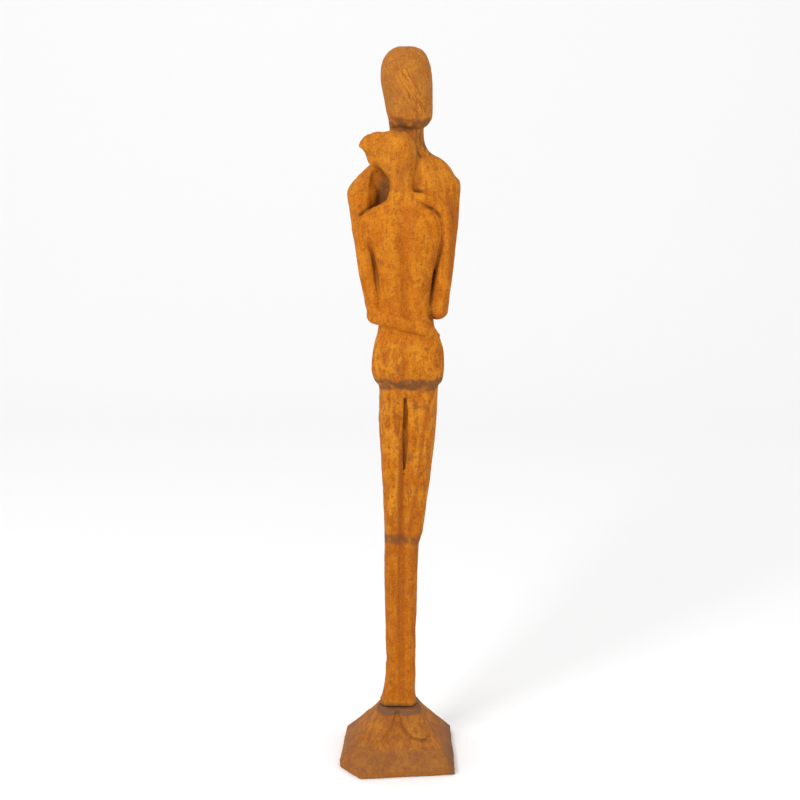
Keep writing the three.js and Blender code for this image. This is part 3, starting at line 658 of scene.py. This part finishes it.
# The middle of the spine (x, z), and pits and nicks beside it (x, z, x, z, width).
SPINE_LINE = [(9, 966), (11, 925), (13, 880), (18, 815)]
BACK_PITS = [
    (0, 888, 1, 883, 4.5),
    (-4, 876, -3, 873, 3.5),
    (45, 928, 46, 902, 3),
    (52, 920, 51, 893, 2.6),
    (40, 905, 41, 880, 2.6),
    (-30, 942, -16, 936, 3),
    (-22, 905, -18, 893, 3),
]


def face_strokes(points):
    """Where the taller figure's face is hatched with rasp marks."""
    return band(points[:, 1], -60, -8, 1) * stroke(points, (8, 1180), (42, 1122), 22)


def couple_relief(points, outward):
    """How far each vertex is raised, in mm."""
    x, y, z = points.T
    front = ramp(-outward[:, 1], 0.1, 0.6)
    legs = 1 - ramp(z, 640, 690)
    raised = 0.55 * noise(points, 34, 1) + 0.4 * noise(points, 14, 2) + 0.22 * noise(points, 6, 3)
    # Long rasp marks down the legs and the backs.
    raised += (0.25 + 0.3 * legs) * noise(turned(points, 8), (5, 5, 45), 4)
    raised -= 0.7 * face_strokes(points) * (0.5 + 0.5 * noise(turned(points, -27), (3.2, 9, 40), 5))
    # The valley of the shorter figure's spine, and the pits beside it.
    front_back = front * ramp(-y, 30, 42)
    for start, end in zip(SPINE_LINE, SPINE_LINE[1:]):
        raised -= 1.2 * front_back * stroke(points, start, end, 13)
    for x0, z0, x1, z1, width in BACK_PITS:
        raised -= 1.6 * front_back * stroke(points, (x0, z0), (x1, z1), width)
    return raised - 0.15


def couple_stain(points):
    """Where the iron is dark grey-brown: at the neck, the seam, the knees and the ankle, and in flecks."""
    x, y, z = points.T
    wander = 5 * noise(points, 16, 21) + 3 * noise(points, 6, 22)
    rough = 0.5 + 0.5 * noise(points, 7, 23)
    seam = band(z + wander, SEAM_HEIGHT - 10, SEAM_HEIGHT + 3, 5) * ramp(rough, 0.05, 0.4)
    knee = band(z + wander, KNEE_HEIGHT - 8, KNEE_HEIGHT + 4, 6) * ramp(rough, 0.1, 0.5) * 0.8
    ankle = band(z + wander * 0.5, 90, 104, 4) * 0.8
    neck = band(z + wander, 1093, 1103, 5) * ramp(rough, 0.2, 0.6) * 0.9
    # Drips on the taller figure's neck, the hollow beside the shorter one's, and loose flecks.
    neck_drips = band(z, 1050, 1094, 8) * ramp(x, 20, 28)
    neck_drips = neck_drips * ramp(noise(points, (3.5, 5, 30), 27), 0, 0.35) * 0.9
    hollow = 1 - ramp(np.hypot((x + 19) / 20, (z - 990) / 36) + 0.2 * noise(points, 8, 28), 0.35, 1.1)
    hollow = hollow * ramp(y, -34, -16) * (1 - ramp(y, 20, 30))
    flecks = ramp(noise(points, 5, 24) * noise(points, 22, 25), 0.3, 0.55) * 0.6
    drips = band(z, 640, 684, 8) * ramp(noise(points, (4, 4, 40), 26), 0.35, 0.6) * 0.7
    return np.maximum.reduce([seam, knee, ankle, neck, neck_drips, hollow, flecks, drips])


def couple_rust_and_shade(points):
    """Where the colour is darker and redder: patches of darker rust, and painted shade down the groove
    between the legs, along the spine's valley, on the right arm's far side and under its elbow.
    """
    x, y, z = points.T
    wander = 2.5 * noise(points, (20, 20, 60), 31)
    # Painted shade down the groove between the legs.
    legs = band(x + wander, 3, 11, 4) * band(z, 130, 560, 40) * 0.9
    thigh = band(x + wander - (z - 400) * 0.13, 18, 21, 3) * band(z, 420, 650, 30) * 0.7
    # Painted shade along the valley of the shorter figure's spine.
    spine = band(x + wander, 8, 17, 6) * band(z, 800, 950, 25) * (1 - ramp(y, -30, 0)) * 0.5
    # Painted shade on the right arm's outer side, away from the key light.
    arm = band(x + wander, 84, 98, 4) * band(z, 860, 960, 25) * 0.7
    # Painted shade under the right elbow.
    elbow = band(x, 55, 90, 5) * (1 - ramp(z, 784, 806)) * ramp(z, 770, 778) * 0.8
    head = band(x + wander, -18, -6, 6) * band(z, 1110, 1160, 15) * 0.5
    # Patches of darker rust.
    patches = ramp(noise(points, (9, 9, 24), 32), 0.25, 0.6) * 0.55
    return np.maximum.reduce([legs, thigh, spine, arm, elbow, head, patches])


def make_couple():
    clay = couple_clay()
    floor = Shape(lambda x, y, z: z - JOINT_HEIGHT - 0.2, (-200, -200, 60), (200, 200, 104))
    clay.cut(floor, 1.5)
    lines = [
        grid_line(-92, 116, lambda x: 2.25),
        grid_line(-74, 84, lambda y: 2.35),
        grid_line(JOINT_HEIGHT - 6, 1232, lambda z: 2.25 if z > 640 else 2.9),
    ]
    points, quads, outward = skinned(clay, lines)
    masks = {
        # Painted shade in creases and hollows: how closed-in the space before each point is.
        "crease_shade": 1 - openness(clay, points, outward),
        "edge": thinness(clay, points, outward),
        "stain": couple_stain(points),
        # Darker, redder colour: patches of darker rust, and painted shade along valleys and creases and on
        # the arm's far side.
        "rust_and_shade": couple_rust_and_shade(points),
        "hatch": face_strokes(points),
    }
    points = points + outward * couple_relief(points, outward)[:, None]
    low, high = (np.array(corner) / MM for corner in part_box("embracing_couple"))
    points = np.clip(points, low, high)
    return mesh_object("couple_surface", points, quads, masks)


# ---- The mound -----------------------------------------------------------------------------------------

MOUND_PLAN = [(100, -86), (97, 86), (4, 101), (-92, 86), (-101, -57), (-64, -103)]
MOUND_TOP = (5.5, 0)
MOUND_TOP_REACHES = (28, 27, 27, 31, 34, 30)  # for each side
MOUND_HOLLOWS = (1.1, 1.1, 1.15, 1.1, 1.2, 1.15)  # for each side; above 1 its slope is hollow
RIM_HEIGHT = 12
MOUND_HEIGHT = 99.7
SLOPE_SHARE = 0.75  # turns a level distance to a slope into one across it

# Each foot as seen from the front, from the ankle to the toes: (x, z, half width).
LEFT_FOOT = [(-17, 104, 20), (-24, 80, 18), (-31, 67, 15), (-32.5, 63, 12.5)]
RIGHT_FOOT = [(18, 104, 20), (27, 80, 21.5), (36, 68, 18), (43.5, 63, 13)]
FOOT_HEIGHTS = (4.5, 6)


def mound_body(x, y, z):
    rise = np.clip((z - RIM_HEIGHT) / (MOUND_HEIGHT - RIM_HEIGHT), 0, 1)
    sides = None
    for n, (ax, ay) in enumerate(MOUND_PLAN):
        bx, by = MOUND_PLAN[(n + 1) % len(MOUND_PLAN)]
        length = np.hypot(bx - ax, by - ay)
        nx, ny = (by - ay) / length, (ax - bx) / length
        reach = nx * (ax - MOUND_TOP[0]) + ny * (ay - MOUND_TOP[1])
        top_reach = MOUND_TOP_REACHES[n]
        out = top_reach + (reach - top_reach) * (1 - rise) ** MOUND_HOLLOWS[n]
        gap = (nx * (x - MOUND_TOP[0]) + ny * (y - MOUND_TOP[1]) - out) * SLOPE_SHARE
        sides = gap if sides is None else smooth_max(sides, gap, 3)
    return smooth_max(smooth_max(sides, z - MOUND_HEIGHT, 2), 0.3 - z, 1.5)


def raised_foot(stations, height):
    """A foot that lies on the slope like a rounded panel."""

    def distance(x, y, z):
        side = None
        for (ax, az, start), (bx, bz, end) in zip(stations, stations[1:]):
            run, fall = bx - ax, bz - az
            t = np.clip(((x - ax) * run + (z - az) * fall) / (run * run + fall * fall), 0, 1)
            gap = np.hypot(x - ax - t * run, (z - az - t * fall) * 1.3) - start - t * (end - start)
            side = gap if side is None else np.minimum(side, gap)
        panel = smooth_max(mound_body(x, y, z) - height, side, 9)
        return smooth_max(panel, y + 8, 1)

    return distance


def mound_clay():
    clay = Clay()
    clay.add(Shape(mound_body, (-120, -120, 0), (120, 120, MOUND_HEIGHT)), 1)
    for foot, height in zip((LEFT_FOOT, RIGHT_FOOT), FOOT_HEIGHTS):
        clay.add(Shape(raised_foot(foot, height), (-60, -90, 25), (75, 0, MOUND_HEIGHT)), 3)
    clay.cut(Shape(lambda x, y, z: MOUND_HEIGHT - z, (-120, -120, MOUND_HEIGHT), (120, 120, 130)), 1)
    return clay


def make_mound():
    clay = mound_clay()
    lines = [
        grid_line(-106, 108, lambda x: 2.3),
        grid_line(-106, 108, lambda y: 2.4),
        grid_line(-6, 108, lambda z: 2.2),
    ]
    points, quads, outward = skinned(clay, lines)
    x, y, z = points.T
    grow = 0.7 * noise(points, 30, 41) + 0.5 * noise(points, 12, 42) + 0.3 * noise(points, 5.5, 43) - 0.5
    wander = 6 * noise(points, 18, 44)
    masks = {
        # Painted shade in creases and hollows: how closed-in the space before each point is.
        "crease_shade": 1 - openness(clay, points, outward),
        "edge": thinness(clay, points, outward),
        "stain": np.maximum(band(z + wander * 0.6, 93, 101, 4), 0.7 * ramp(x + wander, 80, 94)),
        # On the mound this mask holds only patches of darker rust.
        "rust_and_shade": ramp(noise(points, 16, 45), 0.2, 0.55) * 0.6,
        "hatch": np.zeros(len(points)),
    }
    points = points + outward * grow[:, None]
    low, high = (np.array(corner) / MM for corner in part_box("mound_base"))
    points = np.clip(points, low, high)
    return mesh_object("mound_surface", points, quads, masks)


# ---- Materials -----------------------------------------------------------------------------------------


class Nodes:
    """Short ways to add and join shader nodes."""

    def __init__(self, name):
        self.material = bpy.data.materials.new(name)
        self.material.use_nodes = True
        self.tree = self.material.node_tree
        self.shader = self.tree.nodes["Principled BSDF"]
        coordinates = self.tree.nodes.new("ShaderNodeTexCoord")
        self.place = coordinates.outputs["Object"]

    def new(self, kind, **settings):
        node = self.tree.nodes.new(kind)
        for key, value in settings.items():
            setattr(node, key, value)
        return node

    def join(self, source, socket):
        if isinstance(source, (int, float, tuple)):
            socket.default_value = source
        else:
            self.tree.links.new(source, socket)

    def noise(self, grain, detail=3.0, roughness=0.55, stretch=(1, 1, 1), turn=(0, 0, 0)):
        """Noise whose grain is given in mm; it is stretched, then turned."""
        mapping = self.new("ShaderNodeMapping", vector_type="TEXTURE")
        self.join(self.place, mapping.inputs["Vector"])
        mapping.inputs["Scale"].default_value = stretch
        mapping.inputs["Rotation"].default_value = turn
        node = self.new("ShaderNodeTexNoise")
        self.join(mapping.outputs[0], node.inputs["Vector"])
        node.inputs["Scale"].default_value = 1 / (grain * MM)
        node.inputs["Detail"].default_value = detail
        node.inputs["Roughness"].default_value = roughness
        return node.outputs["Fac"]

    def math(self, operation, *values):
        node = self.new("ShaderNodeMath", operation=operation)
        for value, socket in zip(values, node.inputs):
            self.join(value, socket)
        return node.outputs[0]

    def between(self, value, low, high):
        """0 below low, 1 above high, smooth between."""
        node = self.new("ShaderNodeMapRange", interpolation_type="SMOOTHSTEP")
        self.join(value, node.inputs["Value"])
        node.inputs["From Min"].default_value = low
        node.inputs["From Max"].default_value = high
        return node.outputs["Result"]

    def mix(self, factor, a, b):
        node = self.new("ShaderNodeMix", data_type="RGBA")
        self.join(factor, node.inputs[0])
        self.join(a, node.inputs[6])
        self.join(b, node.inputs[7])
        return node.outputs[2]

    def mask(self, name):
        return self.new("ShaderNodeAttribute", attribute_name=name).outputs["Fac"]

    def height(self):
        """The height above the ground, in mm."""
        parts = self.new("ShaderNodeSeparateXYZ")
        self.join(self.place, parts.inputs[0])
        return self.math("DIVIDE", parts.outputs["Z"], MM)


def color(red, green, blue):
    return (red, green, blue, 1.0)


RUDDY = (0.34, 0.07, 0.01)  # the darker, redder colour of the mask of darker rust and painted shade


def rust(name, tones, bands):
    """Rusted iron, with painted shade in its creases. tones are its main, bright, deep, dark and grey
    colours, the dark one being the shade painted into creases;
    bands are (lowest height, highest height, soft, colour, share) of tinted zones."""
    n = Nodes(name)
    main, bright, deep, dark, grey = (color(*tone) for tone in tones)
    patches = n.noise(26)
    blots = n.noise(9, detail=4)
    grain = n.noise(2.2, detail=3, roughness=0.65)
    streaks = n.noise(6, detail=3, stretch=(1, 1, 6))
    tint = n.mix(n.between(patches, 0.38, 0.64), main, bright)
    tint = n.mix(n.math("MULTIPLY", n.between(blots, 0.5, 0.66), 0.7), tint, deep)
    tint = n.mix(n.math("MULTIPLY", n.between(streaks, 0.52, 0.66), 0.6), tint, deep)
    tint = n.mix(n.math("MULTIPLY", n.between(streaks, 0.48, 0.36), 0.5), tint, bright)
    # Darker, redder colour: patches of darker rust and, on the couple, painted shade along valleys and
    # creases and on the arm's far side.
    tint = n.mix(n.mask("rust_and_shade"), tint, n.mix(0.45, deep, color(*RUDDY)))
    height = n.height()
    for low, high, soft, shade, share in bands:
        rise = n.between(height, low - soft, low)
        fall = n.between(height, high + soft, high)
        zone = n.math("MULTIPLY", n.math("MULTIPLY", rise, fall), share)
        tint = n.mix(zone, tint, color(*shade))
    tint = n.mix(n.math("MULTIPLY", n.between(grain, 0.5, 0.66), 0.45), tint, bright)
    tint = n.mix(n.math("MULTIPLY", n.between(grain, 0.5, 0.36), 0.5), tint, deep)
    scratches = n.noise(3, detail=2, stretch=(1, 1, 12), turn=(0, np.radians(-27), 0))
    hatch = n.math("MULTIPLY", n.mask("hatch"), 0.8)
    tint = n.mix(n.math("MULTIPLY", n.between(scratches, 0.5, 0.6), hatch), tint, bright)
    tint = n.mix(n.math("MULTIPLY", n.between(scratches, 0.48, 0.4), hatch), tint, deep)
    specks = n.noise(3.2, detail=2, stretch=(1, 1, 1.6))
    tint = n.mix(n.math("MULTIPLY", n.between(specks, 0.6, 0.68), 0.5), tint, grey)
    edge = n.math("MULTIPLY", n.mask("edge"), 0.25)
    tint = n.mix(edge, tint, bright)
    # Painted shade: creases and hollows darken towards the dark colour where the space before the surface is
    # narrow.
    crease_shade = n.between(n.math("ADD", n.mask("crease_shade"), n.math("MULTIPLY", blots, 0.12)), 0.36, 0.9)
    tint = n.mix(n.math("MULTIPLY", crease_shade, 0.6), tint, dark)
    stain = n.math("MULTIPLY", n.mask("stain"), n.between(grain, 0.2, 0.6))
    tint = n.mix(n.math("MULTIPLY", stain, 0.92), tint, grey)
    n.join(tint, n.shader.inputs["Base Color"])
    n.join(n.math("ADD", 0.62, n.math("MULTIPLY", grain, 0.35)), n.shader.inputs["Roughness"])
    n.shader.inputs["Metallic"].default_value = 0.0
    n.shader.inputs["Specular IOR Level"].default_value = 0.15
    height_map = n.math("ADD", n.math("MULTIPLY", grain, 0.5), n.math("MULTIPLY", blots, 1.2))
    bump = n.new("ShaderNodeBump")
    n.join(height_map, bump.inputs["Height"])
    bump.inputs["Strength"].default_value = 0.6
    bump.inputs["Distance"].default_value = 1.6 * MM
    n.join(bump.outputs[0], n.shader.inputs["Normal"])
    return n.material


couple = make_couple()
mound = make_mound()

couple_iron = rust(
    "rusted_iron",
    [
        (0.47, 0.13, 0.002),
        (0.62, 0.225, 0.012),
        (0.29, 0.066, 0.003),
        (0.14, 0.045, 0.012),
        (0.12, 0.055, 0.025),
    ],
    [
        (1130, 1240, 50, (0.36, 0.145, 0.03), 0.6),
        (1010, 1090, 20, (0.55, 0.19, 0.016), 0.35),
        (780, 960, 50, (0.52, 0.135, 0.001), 0.35),
        (90, 400, 60, (0.37, 0.09, 0.001), 0.5),
    ],
)
mound_iron = rust(
    "rusted_iron_base",
    [
        (0.34, 0.108, 0.014),
        (0.46, 0.165, 0.016),
        (0.23, 0.07, 0.018),
        (0.12, 0.042, 0.013),
        (0.14, 0.07, 0.038),
    ],
    [(0, 8, 4, (0.36, 0.11, 0.01), 0.5), (12, 34, 14, (0.2, 0.09, 0.04), 0.4)],
)
for piece, material, node, slot in (
    (couple, couple_iron, "embracing_couple", "rusted_iron"),
    (mound, mound_iron, "mound_base", "rusted_iron_base"),
):
    piece.data.materials.append(material)
    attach(piece, "root")
    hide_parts(node)

# ---- Stage ---------------------------------------------------------------------------------------------

scene = bpy.context.scene
scene.view_settings.view_transform = "Standard"

FLOOR_FRONT, FLOOR_BACK, SWEEP_RADIUS, SWEEP_TOP, FLOOR_HALF_WIDTH = -4.0, 2.4, 1.6, 5.0, 5.0


def make_stage():
    """A white floor that curves up into a backdrop."""
    profile = [(FLOOR_FRONT, 0.0), (FLOOR_BACK, 0.0)]
    for n in range(1, 17):
        turn = n / 16 * np.pi / 2
        profile.append((FLOOR_BACK + SWEEP_RADIUS * np.sin(turn), SWEEP_RADIUS * (1 - np.cos(turn))))
    profile.append((FLOOR_BACK + SWEEP_RADIUS, SWEEP_TOP))
    vertices = [(side * FLOOR_HALF_WIDTH, y, z) for y, z in profile for side in (-1, 1)]
    faces = [(2 * n, 2 * n + 1, 2 * n + 3, 2 * n + 2) for n in range(len(profile) - 1)]
    mesh = bpy.data.meshes.new("stage")
    mesh.from_pydata(vertices, [], faces)
    mesh.polygons.foreach_set("use_smooth", np.ones(len(faces), bool))
    stage = bpy.data.objects.new("stage", mesh)
    scene.collection.objects.link(stage)
    material = bpy.data.materials.new("stage_white")
    material.use_nodes = True
    shader = material.node_tree.nodes["Principled BSDF"]
    shader.inputs["Base Color"].default_value = color(0.95, 0.95, 0.95)
    shader.inputs["Roughness"].default_value = 1.0
    shader.inputs["Specular IOR Level"].default_value = 0.0
    mesh.materials.append(material)
    stage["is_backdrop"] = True


def make_lights():
    world = bpy.data.worlds.new("studio")
    world.use_nodes = True
    world.node_tree.nodes["Background"].inputs["Color"].default_value = color(1, 1, 1)
    world.node_tree.nodes["Background"].inputs["Strength"].default_value = 0.86
    scene.world = world
    for name, place, size, power in (
        ("key", (-1.6, -2.4, 3.0), 1.2, 62),
        ("fill", (2.4, -2.6, 1.4), 2.4, 10),
    ):
        light = bpy.data.lights.new(name, "AREA")
        light.shape = "SQUARE"
        light.size = size
        light.energy = power
        lamp = bpy.data.objects.new(name, light)
        lamp.location = place
        aim = np.array((0, 0, 0.6)) - np.array(place)
        lamp.rotation_euler = Vector(aim).to_track_quat("-Z", "Y").to_euler()
        scene.collection.objects.link(lamp)


def make_camera():
    lens = bpy.data.cameras.new("camera")
    lens.lens = 66
    lens.sensor_width = 36
    camera = bpy.data.objects.new("camera", lens)
    camera.location = (0.005, -2.4, 1.197)
    camera.rotation_euler = (np.radians(77), 0, 0)
    scene.collection.objects.link(camera)
    scene.camera = camera


make_stage()
make_lights()
make_camera()

boxes = {"cad": CAD_BOX, "visual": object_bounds()}
boxes = {name: [[float(v) for v in corner] for corner in corners] for name, corners in boxes.items()}
